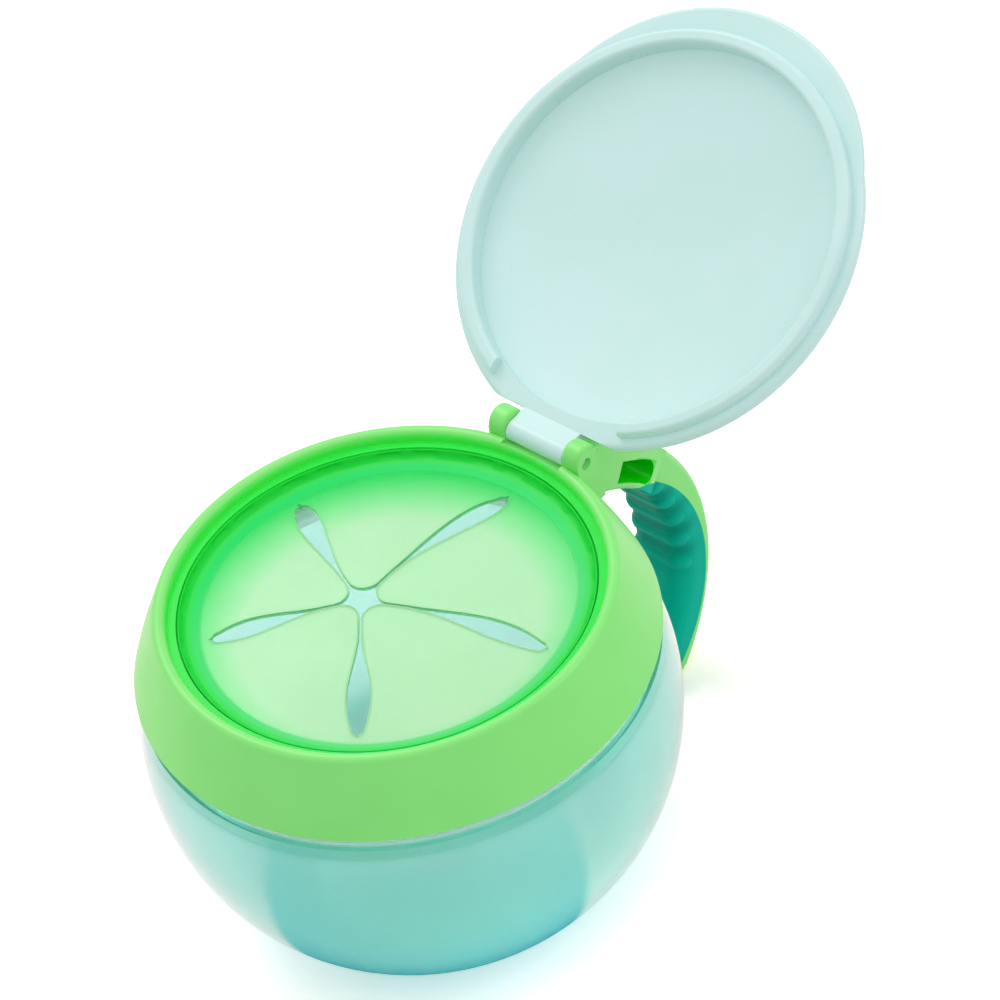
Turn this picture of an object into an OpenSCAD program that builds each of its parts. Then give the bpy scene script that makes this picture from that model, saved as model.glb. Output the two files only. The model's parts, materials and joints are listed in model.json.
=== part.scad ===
// Toddler snack cup: a round bowl, a screw-on collar with a C-shaped handle,
// a soft slotted membrane to reach through, and a hinged flip-up lid.
// Origin: centre of the base, on the table. +Z is up, the handle and hinge are at +Y.

/* [Bowl] */
// Outside diameter of the bowl at its widest
bowl_d = 90; // [72:1:110]
// Diameter of the flat base
base_d = 43; // [36:1:52]
// Thickness of the bowl wall
bowl_wall = 2; // [1.6:0.1:2.4]
// Thickness of the bowl floor
floor_t = 3; // [2:0.5:5]

/* [Collar] */
// Height of the collar rim above the table
cup_h = 66; // [54:1:80]
// Height of the collar, from its lower edge to the rim
collar_h = 13; // [12:0.5:15.5]
// How far the collar stands out from the bowl
collar_proud = 1.3; // [0.6:0.1:2]
// Width of the rim at the mouth
rim_w = 2.5; // [2:0.1:3]

/* [Thread] */
// Rise of the thread in one full turn
thread_lead = 12; // [10:0.5:14]
// Number of thread starts
thread_starts = 4; // [3:1:4]
// Height of the thread ridge
thread_depth = 1.2; // [0.9:0.1:1.3]

/* [Membrane] */
// Thickness of the soft flaps
flap_t = 1; // [0.8:0.1:1.4]
// Depth of the membrane below the rim
membrane_drop = 3.9; // [3.5:0.1:5]
// Number of flaps
flap_count = 5; // [4:1:6]
// Widest part of each slot
slot_w = 4.1; // [2.5:0.1:5]
// Slot width near the middle
slot_w_in = 0.9; // [0.5:0.1:1.5]
// Rounding of the flap tips at the middle hole
tip_round = 2.75; // [1.5:0.05:4]
// Sideways offset of the middle hole
star_x = -4.6; // [-6:0.1:6]
// Front-to-back offset of the middle hole
star_y = -1.8; // [-6:0.1:6]
// Direction of the first slot
slot_turn = 86.6; // [0:0.2:120]

/* [Lid] */
// Thickness of the lid shell
lid_t = 2; // [1.5:0.1:2.6]
// Rise of the lid dome
lid_dome = 4.5; // [3:0.5:8]
// How far the thumb lip reaches past the lid edge
lip_reach = 3.2; // [2:0.1:6]
// Width of the sealing ring
seal_w = 2.6; // [2:0.1:3]
// Opening angle at which the lid stops
open_angle = 149; // [100:1:155]

/* [Hinge] */
// Diameter of the hinge stubs
pin_d = 2.1; // [1.8:0.1:2.6]
// Width of the hinge knuckle
knuckle_w = 12.2; // [10:0.2:14]
// Thickness of each ear
ear_t = 3.6; // [2.4:0.1:4]
// Radius of the ears
ear_r = 2.7; // [2.5:0.1:3.2]

/* [Handle] */
// Width of the handle at the grip
handle_w = 12.2; // [11:0.2:15]
// Width of the arm where it leaves the collar
arm_w = 16; // [15:0.5:18]
// Thickness of the handle
handle_t = 7.8; // [6.6:0.2:9]
// Number of finger ribs on the grip
rib_count = 6; // [3:1:8]

/* [Hidden] */
$fn = 120;

fit = 0.3;          // clearance between bodies that move past each other
pin_fit = 0.05;     // radial clearance of a stub in its ear
flap_fit = 0.1;     // clearance round a flap's rolled root
over = 1;           // how far a cutter runs past the face it cuts

// Bowl profile: one arc through the base edge and the widest circle.
bowl_r = bowl_d / 2;
base_r = base_d / 2;
mid_h = cup_h * 0.583;
bulge = bowl_r - base_r;
arc_r = (bulge * bulge + mid_h * mid_h) / (2 * bulge);
arc_x = bowl_r - arc_r;
function bowl_r_at(z) = arc_x + sqrt(arc_r * arc_r - pow(z - mid_h, 2));

// Mouth, rim and neck radii.
rim_in = bowl_r * 0.804;
rim_out = rim_in + rim_w;
rim_z = cup_h;
ledge_z = rim_z - 2;
ledge_in = rim_in - 1.4;
ledge_t = 1.2;
collar_z = rim_z - collar_h;
collar_r = bowl_r_at(collar_z) + collar_proud;
collar_in = rim_out + 0.1;
neck_r = collar_in - fit - thread_depth;
neck_in = neck_r - bowl_wall;
neck_top = rim_z - 5;
shoulder_z = collar_z - fit;
groove_z = shoulder_z - 2.4;
groove_r = bowl_r_at(groove_z) - 1.3;
relief_in = collar_in + 1.8;
relief_out = collar_r - 2.2;

// Membrane.
flap_top = rim_z - membrane_drop;
flap_bottom = flap_top - flap_t;
membrane_r = ledge_in - 3.7;
membrane_lip = ledge_in - fit;
slot_r = membrane_r - 2;
flap_pitch = 360 / flap_count;
slot_lean = [2.4, 3.4, -2.1, -0.6, -2.1];   // how far each slot leans off an even spacing
slot_bend = [1.8, 0.5, -0.75, 0, 1.7];       // how far each slot bows to its left
star = [star_x, star_y];
function slot_dir(k) = slot_turn + k * flap_pitch + slot_lean[k % flap_count % 5];
function root_dir(k) = (slot_dir(k) + slot_dir(k + 1)) / 2;
function root_at(k) = slot_r * cos((slot_dir(k + 1) - slot_dir(k)) / 2);
crenel_pairs = 13;      // shallow recesses under the soft lip, set in pairs
crenel_turn = 38;
crenel_apart = 10.5;
crenel_w = 3.8;

// Hinge.
hinge_y = rim_out + 0.7;
hinge_z = rim_z + 0.5;
ear_y = hinge_y + 0.4;
ear_z = hinge_z + 0.5;
knuckle_r = pin_d / 2 + 0.95;
ear_in = knuckle_w / 2 + fit / 2;
ear_out = ear_in + ear_t;
stub_end = ear_out - 1;
lean_back = 180 - open_angle;     // slope of the open lid above level
stop_gap = 0.1;                   // between the open lid's tab and the slope it rests on
arm_z = rim_z;                    // top of the arm
arm_to = hinge_y + 7;

// Lid, as it lies when closed.
lid_z = rim_z + fit;
lid_r = rim_in + 1.5;
lid_edge = 2;
lid_floor = rim_z + 1.9;
seal_out = rim_in - fit;
seal_in = seal_out - seal_w;
seal_z = ledge_z + fit;
lid_back = hinge_y - 4;
seal_gap = 28;
seal_shift = -0.5;                // the gap sits a little to one side
back_band = 1.7;                  // solid band along the straight back edge
lip_r = lid_r - 3.6;
lip_y = lid_r + lip_reach - lip_r;

// Handle: a sweep about an axis that runs along X.
handle_y = bowl_r * 0.667;
handle_z = rim_z * 0.421;
handle_out = rim_z * 0.579;
handle_mid = handle_out - handle_t / 2;
handle_in = handle_out - handle_t;
handle_top = 78;
handle_end = -asin((handle_z - handle_t / 2) / handle_mid);
grip_y = handle_y + 8;
grip_z = handle_z - 2.8;
grip_r = handle_out - 9.9;
pocket_r0 = handle_in + 1.3;
pocket_r1 = handle_out - 2.4;
pocket_from = 38.3;
pocket_to = 57.5;
pocket_web = 3;

// ---------- shared helpers ----------

// A right-angled ring wedge of a profile, from angle a0 to a1 about the X axis
// through (y, z). The profile's x is the radius and its y lies along X.
module sweep_x(y, z, a0, a1) {
    translate([0, y, z]) rotate([90, 0, 90]) rotate([0, 0, a0])
        rotate_extrude(angle = a1 - a0) children();
}

// A cylinder along X, centred, at (y, z).
module bar_x(y, z, r, length) {
    translate([0, y, z]) rotate([0, 90, 0]) cylinder(r = r, h = length, center = true);
}

// A prism along X, centred, of a shape drawn in the Y-Z plane.
module prism_x(width) {
    rotate([90, 0, 90]) linear_extrude(width, center = true) children();
}

// A rectangle from (x0, y0) to (x1, y1) with its four corners rounded by r.
module soft_rect(x0, y0, x1, y1, r) {
    translate([x0 + r, y0]) square([x1 - x0 - 2 * r, y1 - y0]);
    translate([x0, y0 + r]) square([x1 - x0, y1 - y0 - 2 * r]);
    for (x = [x0 + r, x1 - r], y = [y0 + r, y1 - r])
        translate([x, y]) circle(r, $fn = 48);
}

// One helical ridge. It climbs from z0 through `span` degrees, starting at `turn`.
// foot and crest are radii; the ridge is foot_w tall at the foot and crest_w at the crest.
ridge_steps = 24;
function ridge_ring(i, z0, turn, span, foot, crest, foot_w, crest_w) =
    let (a = turn + span * i / ridge_steps,
         z = z0 + thread_lead * span / 360 * i / ridge_steps)
    [for (p = [[foot, -foot_w], [crest, -crest_w], [crest, crest_w], [foot, foot_w]])
        [p[0] * cos(a), p[0] * sin(a), z + p[1] / 2]];
module ridge(z0, turn, span, foot, crest, foot_w, crest_w) {
    points = [for (i = [0:ridge_steps])
        each ridge_ring(i, z0, turn, span, foot, crest, foot_w, crest_w)];
    last = 4 * ridge_steps;
    outward = crest > foot;
    sides = [for (i = [0:ridge_steps - 1], k = [0:3])
        [4 * i + k, 4 * i + (k + 1) % 4, 4 * i + 4 + (k + 1) % 4, 4 * i + 4 + k]];
    ends = [[3, 2, 1, 0], [last, last + 1, last + 2, last + 3]];
    faces = concat(sides, ends);
    polyhedron(points, outward ? faces : [for (f = faces) [f[3], f[2], f[1], f[0]]]);
}
module thread(z0, turn, span, foot, crest) {
    for (k = [0:thread_starts - 1])
        ridge(z0, turn + k * 360 / thread_starts, span, foot, crest, 1.3, 0.7);
}
thread_span = 100;
thread_z = shoulder_z + 1.6;
thread_pitch = thread_lead / thread_starts;

// ---------- bowl ----------

module bowl_profile() {
    difference() {
        union() {
            intersection() {
                translate([arc_x, mid_h]) circle(arc_r, $fn = 180);
                square([bowl_r + over, groove_z]);
            }
            translate([0, mid_h]) square([groove_r, shoulder_z - mid_h]);
            translate([0, mid_h]) square([neck_r, neck_top - mid_h]);
        }
        // inside: the same arc, one wall in, up to the shoulder
        intersection() {
            translate([arc_x, mid_h]) circle(arc_r - bowl_wall, $fn = 180);
            translate([0, floor_t]) square([bowl_r, groove_z - floor_t - 3]);
        }
        polygon([[0, groove_z - 3 - over], [bowl_r_at(groove_z - 3) - bowl_wall, groove_z - 3 - over],
                 [bowl_r_at(groove_z - 3) - bowl_wall, groove_z - 3],
                 [groove_r - bowl_wall, shoulder_z - bowl_wall - 0.4],
                 [neck_in + 1, shoulder_z - bowl_wall], [neck_in, shoulder_z - bowl_wall + 1],
                 [neck_in, neck_top + over], [0, neck_top + over]]);
        // shallow ring under the base, between the middle pad and the foot
        translate([6, -over]) square([base_r - 10, over + 0.6]);
    }
}
module bowl() {
    color("PaleTurquoise") union() {
        rotate_extrude() bowl_profile();
        thread(thread_z + thread_pitch / 2, 0, thread_span, neck_r - 0.3, neck_r + thread_depth);
    }
}

// ---------- collar with ears, arm and handle ----------

// The side is one arc from the lower edge, tangent to the round bead of the rim.
bead_r = rim_w / 2;
bead = [rim_in + bead_r, rim_z - bead_r];
side_r = 100;
side_low = [collar_r, collar_z];
side_d = norm(bead - side_low);
bead_in = bead_r - 0.04;       // the arc meets the bead just inside its skin
side_a = (side_r * side_r - pow(side_r - bead_in, 2) + side_d * side_d) / (2 * side_d);
side_u = (bead - side_low) / side_d;
side_h = sqrt(side_r * side_r - side_a * side_a);
side_c = side_low + side_a * side_u + side_h * [-side_u[1], side_u[0]];
side_top = bead[1] + bead_in * (bead[1] - side_c[1]) / (side_r - bead_in);

module collar_profile() {
    difference() {
        union() {
            intersection() {
                translate(side_c) circle(side_r, $fn = 360);
                translate([bead[0], collar_z]) square([bowl_r, side_top - collar_z]);
            }
            translate([ledge_in, collar_z]) square([bead[0] - ledge_in + 0.01, bead[1] - collar_z]);
            translate(bead) circle(bead_r, $fn = 48);
        }
        translate([0, ledge_z]) square([rim_in, over + 2]);
        translate([0, collar_z - over])
            square([collar_in, ledge_z - ledge_t - collar_z + over]);
        translate([relief_in, collar_z - over]) square([relief_out - relief_in, 4.5 + over]);
    }
}

handle_soft = 3.7;      // rounding of the grip side of the handle
handle_edge = 1.2;      // rounding of the spine
module handle_section(w) {
    intersection() {
        soft_rect(handle_in, -w / 2, handle_out + 4, w / 2, handle_soft);
        soft_rect(handle_in - 4, -w / 2, handle_out, w / 2, handle_edge);
    }
}
module arm_section(w) { soft_rect(handle_in, -w / 2, handle_out, w / 2, 1); }

// Plan outline that narrows the arm smoothly to the width of the grip.
module arm_plan() {
    y0 = handle_y + 20;
    y1 = handle_y + 31;
    taper = [for (u = [0:0.125:1]) [(arm_w + (handle_w - arm_w) * ease(u)) / 2, y0 + (y1 - y0) * u]];
    right = concat([[arm_w / 2, 0]], taper, [[handle_w / 2, y1 + 20]]);
    last = len(right) - 1;
    linear_extrude(2 * rim_z, center = true)
        polygon(concat(right, [for (i = [last:-1:0]) [-right[i][0], right[i][1]]]));
}
// The handle in three pieces: the arm, the swept grip and the rounded foot at the free end.
join = 36;
module handle_arm() {
    intersection() {
        sweep_x(handle_y, handle_z, join - 1, handle_top) arm_section(arm_w);
        arm_plan();
    }
}
module handle_bow() { sweep_x(handle_y, handle_z, handle_end, join) handle_section(handle_w); }
foot_in = 0.1;          // how much smaller the foot is than the bow that it ends
module handle_foot() {
    translate([0, handle_y + handle_mid * cos(handle_end), handle_t / 2]) foot();
}
module handle_solid() {
    handle_arm();
    handle_bow();
    handle_foot();
}
module foot() {
    r = handle_t / 2 - foot_in;
    w = handle_w / 2 - foot_in;
    rotate([0, 90, 0]) {
        cylinder(r = r, h = 2 * (w - handle_edge), center = true);
        cylinder(r = r - handle_edge, h = 2 * w, center = true);
        for (s = [-1, 1]) translate([0, 0, s * (w - handle_edge)])
            rotate_extrude() translate([r - handle_edge, 0]) circle(handle_edge, $fn = 48);
    }
}
module grip_zone() { bar_x(grip_y, grip_z, grip_r, 2 * bowl_r); }
module grip_key(slack) {
    sweep_x(handle_y, handle_z, handle_end + 8, 40 + slack)
        translate([handle_mid - 1.4 - slack, -2 - slack]) square([handle_t, 4 + 2 * slack]);
}

// Top of the arm: it meets the back of the lid and stops it.
module arm_top() {
    from = hinge_y - 1;
    reach = norm([arm_to - handle_y, arm_z - handle_z]);
    lean = atan2(arm_z - handle_z, arm_to - handle_y) - acos(handle_out / reach);
    inner = handle_out - 1;
    past = pocket_to + 1;
    prism_x(arm_w) polygon([[from, rim_z - 4], [from, arm_z], [arm_to, arm_z],
        [handle_y + handle_out * cos(lean), handle_z + handle_out * sin(lean)],
        [handle_y + inner * cos(past), handle_z + inner * sin(past)]]);
}
// A pocket in each side of the arm, square towards the ears and round towards the grip.
module arm_pockets() {
    w = (arm_w - pocket_web) / 2 + over;
    for (s = [-1, 1]) translate([s * (pocket_web + w) / 2, handle_y, handle_z])
        prism_x(w) pocket_plan();
}
// Outline of a pocket, round the handle's axis. Its depth follows a half ellipse at the round end.
module pocket_plan() {
    mid = (pocket_r0 + pocket_r1) / 2;
    half = (pocket_r1 - pocket_r0) / 2;
    round_a = 1.2 * asin(half / mid);
    angles = concat([for (u = [0:15:90]) pocket_from + round_a * (1 - cos(u))],
                    [for (i = [1:4]) pocket_from + round_a + i * (pocket_to - pocket_from - round_a) / 4]);
    function depth(a) = half * sqrt(1 - pow(max(0, 1 - (a - pocket_from) / round_a), 2));
    polygon(concat([for (a = angles) (mid + depth(a)) * [cos(a), sin(a)]],
                   [for (i = [len(angles) - 1:-1:1])
                       (mid - depth(angles[i])) * [cos(angles[i]), sin(angles[i])]]));
}
module ears() {
    soft = 0.7;
    for (s = [-1, 1]) translate([s * (ear_in + ear_t / 2), 0, 0]) {
        translate([0, ear_y, ear_z]) rotate([0, 90, 0]) rotate_extrude()
            intersection() {
                soft_rect(-ear_r, -ear_t / 2, ear_r, ear_t / 2, soft);
                translate([0, -ear_t]) square([ear_r + over, 2 * ear_t]);
            }
        prism_x(ear_t) polygon([[ear_y - ear_r + 0.2, ear_z], [ear_y + ear_r - 0.1, ear_z],
                                [ear_y + ear_r - 0.1, rim_z - 9], [ear_y - 1, rim_z - 9],
                                [ear_y - ear_r + 0.2, rim_z - 3]]);
    }
}
// Where a line from the lid's back edge just touches the barrel's underside, r from its axis.
function barrel_low(r) =
    let (to_lid = [lid_back - hinge_y, lid_z - hinge_z],
         a = 360 + atan2(to_lid[1], to_lid[0]) + acos(r / norm(to_lid)))
    [hinge_y + r * cos(a), hinge_z + r * sin(a)];
module hinge_room() {
    r = knuckle_r + stop_gap;
    low = barrel_low(knuckle_r);
    front = [rim_in - 1, lid_z - (rim_in - 1 - lid_back) * (lid_z - low[1]) / (low[0] - lid_back)];
    side = lean_back - 90;
    far = 14;
    from = [hinge_y + r * cos(side), hinge_z + r * sin(side)];
    bar_x(hinge_y, hinge_z, knuckle_r + fit, 2 * ear_in);
    // room for the lid's tab, leaning back when open; the slope is the lid's stop
    prism_x(2 * ear_in) polygon([[hinge_y, hinge_z], from,
        from + far * [cos(lean_back), sin(lean_back)], [hinge_y, hinge_z + far]]);
    // room under the tab while the lid is shut
    prism_x(2 * ear_in) polygon([[hinge_y, hinge_z], low - [0, fit], front - [0, fit],
        [front[0], hinge_z]]);
}
module collar() {
    color("LightGreen") difference() {
        union() {
            rotate_extrude() collar_profile();
            difference() {
                union() {
                    difference() { handle_arm(); grip_zone(); }
                    difference() { handle_bow(); grip_zone(); }
                    difference() { handle_foot(); grip_zone(); }
                    arm_top();
                    ears();
                }
                // keep the mouth and the thread bore clear
                cylinder(r = collar_in + 0.5, h = 2 * (ledge_z - ledge_t - 0.4), center = true);
                cylinder(r = rim_in + 0.4, h = rim_z + 2 * ear_r);
            }
            intersection() { handle_bow(); grip_key(0); }
            thread(thread_z, 0, thread_span, collar_in + 0.3, collar_in - thread_depth);
        }
        arm_pockets();
        hinge_room();
        // bores for the lid's stubs
        bar_x(hinge_y, hinge_z, pin_d / 2 + pin_fit, 2 * ear_out + over);
    }
}

// ---------- soft grip ----------

module grip() {
    rib_r = 2.6;
    rib_out = 0.25;
    rib_w = handle_w - 2 * handle_soft + 2;
    first = 38;         // angle of the top rib
    pitch = 9.5;
    color("Teal") difference() {
        intersection() {
            union() {
                handle_solid();
                for (i = [0:rib_count - 1])
                    sweep_rib(first - i * pitch, handle_in + rib_r - rib_out, rib_r, rib_w);
            }
            grip_zone();
        }
        grip_key(0.02);
    }
}
module sweep_rib(a, at, r, w) {
    translate([0, handle_y + at * cos(a), handle_z + at * sin(a)]) {
        rotate([0, 90, 0]) cylinder(r = r, h = w, center = true, $fn = 48);
        for (s = [-1, 1]) translate([s * w / 2, 0, 0]) sphere(r, $fn = 48);
    }
}

// ---------- soft membrane ----------

function slot_tip(k) = slot_r * [cos(slot_dir(k)), sin(slot_dir(k))];

// Width of slot k at t along it: narrow at the middle hole, then a leaf shape.
slot_swell = 0.24;      // where the slots start to widen
slot_full = [0.84, 0.89, 0.76, 0.72, 0.75];   // where each slot is widest
tip_w = 1.5;
slot_steps = 10;
function ease(x) = x * x * (3 - 2 * x);
function leaf(k, t) = let (full = slot_full[k % flap_count % 5]) t < full
    ? slot_w_in + (slot_w - slot_w_in) * ease(max(0, (t - slot_swell) / (full - slot_swell)))
    : tip_w + (slot_w - tip_w) * (1 - pow((t - full) / (1 - full), 2));
// The line down the middle of slot k, bowed sideways, from the middle hole (t = 0) to its tip.
function across(k) = let (v = slot_tip(k) - star) [-v[1], v[0]] / norm(v);
function slot_axis(k, t) = star + t * (slot_tip(k) - star)
    + 4 * slot_bend[k % flap_count % 5] * t * (1 - t) * across(k);
function slot_start(k) = let (v = slot_axis(k, slot_swell) - star) atan2(v[1], v[0]);

// Outline of slot k: out along its right side, round the tip and back along its left side.
function slot_line(k) =
    let (end = 1 - tip_w / 2 / norm(slot_tip(k) - star),
         run = [for (i = [0:slot_steps]) slot_swell + (end - slot_swell) * i / slot_steps],
         side = across(k),
         left = atan2(side[1], side[0]))
    concat([for (t = run) slot_axis(k, t) - leaf(k, t) / 2 * side],
           [for (i = [1:7]) let (a = left - 180 + i * 22.5)
               slot_axis(k, end) + leaf(k, end) / 2 * [cos(a), sin(a)]],
           [for (i = [slot_steps:-1:0]) slot_axis(k, run[i]) + leaf(k, run[i]) / 2 * side]);
// The rounded tip of flap k, from slot k to the next one.
function flap_tip(k) =
    let (half = ((slot_start(k + 1) - slot_start(k) + 360) % 360) / 2,
         mid = slot_start(k) + half,
         centre = star + (tip_round + slot_w_in / 2) / sin(half) * [cos(mid), sin(mid)])
    [for (i = [0:8]) let (a = mid + 180 + (90 - half) * (1 - i / 4))
        centre + tip_round * [cos(a), sin(a)]];
// The middle hole and all the slots, as one outline.
module slots() {
    polygon([for (k = [0:flap_count - 1]) each concat(slot_line(k), flap_tip(k))]);
}
// Everything on the middle's side of flap k's root line.
module flap_side(k) {
    rotate(root_dir(k))
        translate([root_at(k) - 2 * bowl_r, -bowl_r]) square([2 * bowl_r, 2 * bowl_r]);
}
// The root line of flap k, as a bar along its hinge.
module root_bar(k, r, length) {
    rotate(root_dir(k)) translate([root_at(k), 0, flap_bottom + flap_t / 2])
        rotate([90, 0, 0]) cylinder(r = r, h = length, center = true, $fn = 32);
}
function root_l(k) = norm(slot_tip(k + 1) - slot_tip(k));

// Plan of flap k: from the middle hole out between the two slots beside it.
module flap_plan(k) {
    past = 1.06;
    steps = 8;
    polygon(concat([for (i = [0:steps]) slot_axis(k, i / steps)],
                   [past * slot_tip(k), past * slot_tip(k + 1)],
                   [for (i = [steps:-1:1]) slot_axis(k + 1, i / steps)]));
}
module flap(k) {
    color("PaleGreen") intersection() {
        union() {
            translate([0, 0, flap_bottom]) linear_extrude(flap_t) flap_side(k);
            root_bar(k, flap_t / 2 - 0.03, root_l(k) - 2);
        }
        translate([0, 0, flap_bottom - over]) linear_extrude(flap_t + 2 * over) difference() {
            flap_plan(k);
            slots();
        }
    }
}
module flap_1() { flap(0); }
module flap_2() { flap(1); }
module flap_3() { flap(2); }
module flap_4() { flap(3); }
module flap_5() { flap(4); }

module membrane_ring() {
    lip_top = ledge_z - 0.1;
    lip_low = ledge_z - ledge_t - 0.1;
    flange_r = neck_r - 0.3;
    plug_out = neck_in - fit;
    cove_r = membrane_lip - 0.8;
    color("SpringGreen") difference() {
        rotate_extrude() {
            polygon([[0, flap_bottom], [plug_out, flap_bottom], [plug_out, neck_top + 0.1],
                     [flange_r, neck_top + 0.1], [flange_r, lip_low - 0.1],
                     [membrane_lip, lip_low - 0.1], [membrane_lip, lip_top],
                     [membrane_lip - 0.2, lip_top], [cove_r, lip_low],
                     [membrane_r + 0.9, flap_top + 0.25], [membrane_r, flap_top], [0, flap_top]]);
            translate([plug_out - 1.3, neck_top - 1.8]) square([1.3, 2.2]);
        }
        for (i = [0:crenel_pairs - 1], s = [0, 1])
            rotate(crenel_turn + i * 360 / crenel_pairs + s * crenel_apart)
                translate([cove_r - 0.6, -crenel_w / 2, lip_low])
                    cube([membrane_lip - 0.25 - cove_r + 0.6, crenel_w, lip_top - 0.3 - lip_low]);
        translate([0, 0, flap_bottom - over]) linear_extrude(flap_t + 2 * over) {
            intersection_for (k = [0:flap_count - 1]) flap_side(k);
            slots();
        }
        for (k = [0:flap_count - 1]) root_bar(k, flap_t / 2 + flap_fit, root_l(k));
    }
}

// ---------- lid ----------

// Shell of revolution: a dome of radius r at its edge, `rise` high.
module dome_profile(r, rise, edge) {
    top_r = r - edge / 2 + 0.3;
    ball = (top_r * top_r + rise * rise) / (2 * rise);
    intersection() {
        translate([0, lid_z + edge + rise - ball]) circle(ball, $fn = 360);
        translate([0, lid_z + edge - 0.2]) square([top_r, rise + over]);
    }
    translate([0, lid_z]) square([r - edge / 2, edge - 0.1]);
    translate([r - edge / 2, lid_z + edge / 2]) circle(edge / 2, $fn = 48);
}
module lid_hollow() {
    ball_rise = lid_dome - lid_t + 0.4;
    ball = (seal_in * seal_in + ball_rise * ball_rise) / (2 * ball_rise);
    difference() {
        rotate_extrude() {
            intersection() {
                translate([0, lid_floor + ball_rise - ball]) circle(ball, $fn = 360);
                translate([0, lid_floor]) square([seal_in, ball_rise + over]);
            }
            translate([0, lid_z - over]) square([seal_in, lid_floor - lid_z + over + 0.01]);
        }
        translate([-bowl_r, lid_back - back_band, 0]) cube([bowl_d, bowl_r, 2 * rim_z]);
    }
}
module closed_lid() {
    difference() {
        union() {
            rotate_extrude() dome_profile(lid_r, lid_dome, lid_edge);
            translate([0, -lip_y, 0])
                rotate_extrude() dome_profile(lip_r, lid_dome - 0.4, lid_edge - 0.6);
        }
        lid_hollow();
        translate([-bowl_r, lid_back, 0]) cube([bowl_d, bowl_r, 2 * rim_z]);
    }
    // sealing ring, open at the hinge
    difference() {
        rotate_extrude() soft_rect(seal_in, seal_z, seal_out, lid_floor + 1, 0.8);
        translate([seal_shift - seal_gap / 2, 0, 0]) cube([seal_gap, bowl_r, lid_z + 0.1]);
        translate([-bowl_r, lid_back - back_band / 2, 0]) cube([bowl_d, bowl_r, 2 * rim_z]);
    }
    // barrel round the hinge line, the tab to the lid and the two stubs
    bar_x(hinge_y, hinge_z, knuckle_r, knuckle_w);
    prism_x(knuckle_w) polygon([[lid_back - back_band + 0.2, lid_z], [lid_back, lid_z],
                                barrel_low(knuckle_r - 0.03), [hinge_y, hinge_z],
                                [hinge_y, hinge_z + knuckle_r - 0.03],
                                [lid_back - 0.8, lid_z + lid_edge - 0.1]]);
    bar_x(hinge_y, hinge_z, pin_d / 2, 2 * stub_end);
}
module lid() {
    color("LightCyan")
        translate([0, hinge_y, hinge_z]) rotate([-open_angle, 0, 0])
            translate([0, -hinge_y, -hinge_z]) closed_lid();
}

bowl();
collar();
grip();
membrane_ring();
flap_1();
flap_2();
flap_3();
flap_4();
flap_5();
lid();
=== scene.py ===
"""Looks of the toddler snack cup: materials, soft membrane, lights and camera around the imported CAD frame."""
import json
import math

import bmesh
import bpy
from mathutils import Matrix, Vector


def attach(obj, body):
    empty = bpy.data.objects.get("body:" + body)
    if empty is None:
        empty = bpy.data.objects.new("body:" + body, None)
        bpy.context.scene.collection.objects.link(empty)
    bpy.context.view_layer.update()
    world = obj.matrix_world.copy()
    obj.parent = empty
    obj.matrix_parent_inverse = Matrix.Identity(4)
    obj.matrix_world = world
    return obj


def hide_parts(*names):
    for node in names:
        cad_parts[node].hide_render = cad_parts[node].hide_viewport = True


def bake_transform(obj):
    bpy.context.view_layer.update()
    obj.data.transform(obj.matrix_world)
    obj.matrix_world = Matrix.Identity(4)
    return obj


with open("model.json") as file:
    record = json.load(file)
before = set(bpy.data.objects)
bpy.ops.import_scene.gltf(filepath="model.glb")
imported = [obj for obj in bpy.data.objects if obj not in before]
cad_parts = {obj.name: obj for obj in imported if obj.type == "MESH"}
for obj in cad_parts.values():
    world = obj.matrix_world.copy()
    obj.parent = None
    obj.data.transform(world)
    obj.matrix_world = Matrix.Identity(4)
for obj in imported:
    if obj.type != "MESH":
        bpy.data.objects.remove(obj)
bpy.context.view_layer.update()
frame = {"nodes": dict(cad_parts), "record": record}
nodes = frame["nodes"]
slots = {part["node"]: part["material_slot"] for part in frame["record"]["subparts"]}

MM = 0.001


# ---------- node material helpers ----------

def new_material(name):
    """A material with an empty node tree, its Principled shader and its output."""
    material = bpy.data.materials.new(name)
    material.use_nodes = True
    tree = material.node_tree
    tree.nodes.clear()
    output = tree.nodes.new("ShaderNodeOutputMaterial")
    shader = tree.nodes.new("ShaderNodeBsdfPrincipled")
    tree.links.new(shader.outputs["BSDF"], output.inputs["Surface"])
    return material, tree, shader


def coordinates(tree):
    """The piece's own coordinates, in metres in the row frame."""
    return tree.nodes.new("ShaderNodeTexCoord").outputs["Object"]


def noise(tree, vector, size, detail=3.0):
    """Noise from 0 to 1 whose features are about `size` metres across."""
    node = tree.nodes.new("ShaderNodeTexNoise")
    node.inputs["Scale"].default_value = 1 / size
    node.inputs["Detail"].default_value = detail
    tree.links.new(vector, node.inputs["Vector"])
    return node.outputs["Fac"]


def ramp(tree, value, low, high, to_low, to_high, smooth=False):
    """Maps value from low..high to to_low..to_high, held at the ends."""
    node = tree.nodes.new("ShaderNodeMapRange")
    node.interpolation_type = "SMOOTHSTEP" if smooth else "LINEAR"
    node.inputs["From Min"].default_value = low
    node.inputs["From Max"].default_value = high
    node.inputs["To Min"].default_value = to_low
    node.inputs["To Max"].default_value = to_high
    tree.links.new(value, node.inputs["Value"])
    return node.outputs["Result"]


def maths(tree, operation, *values):
    """One Math node. Each value is a number or a socket."""
    node = tree.nodes.new("ShaderNodeMath")
    node.operation = operation
    for socket, value in zip(node.inputs, values):
        if isinstance(value, bpy.types.NodeSocket):
            tree.links.new(value, socket)
        else:
            socket.default_value = value
    return node.outputs[0]


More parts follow.
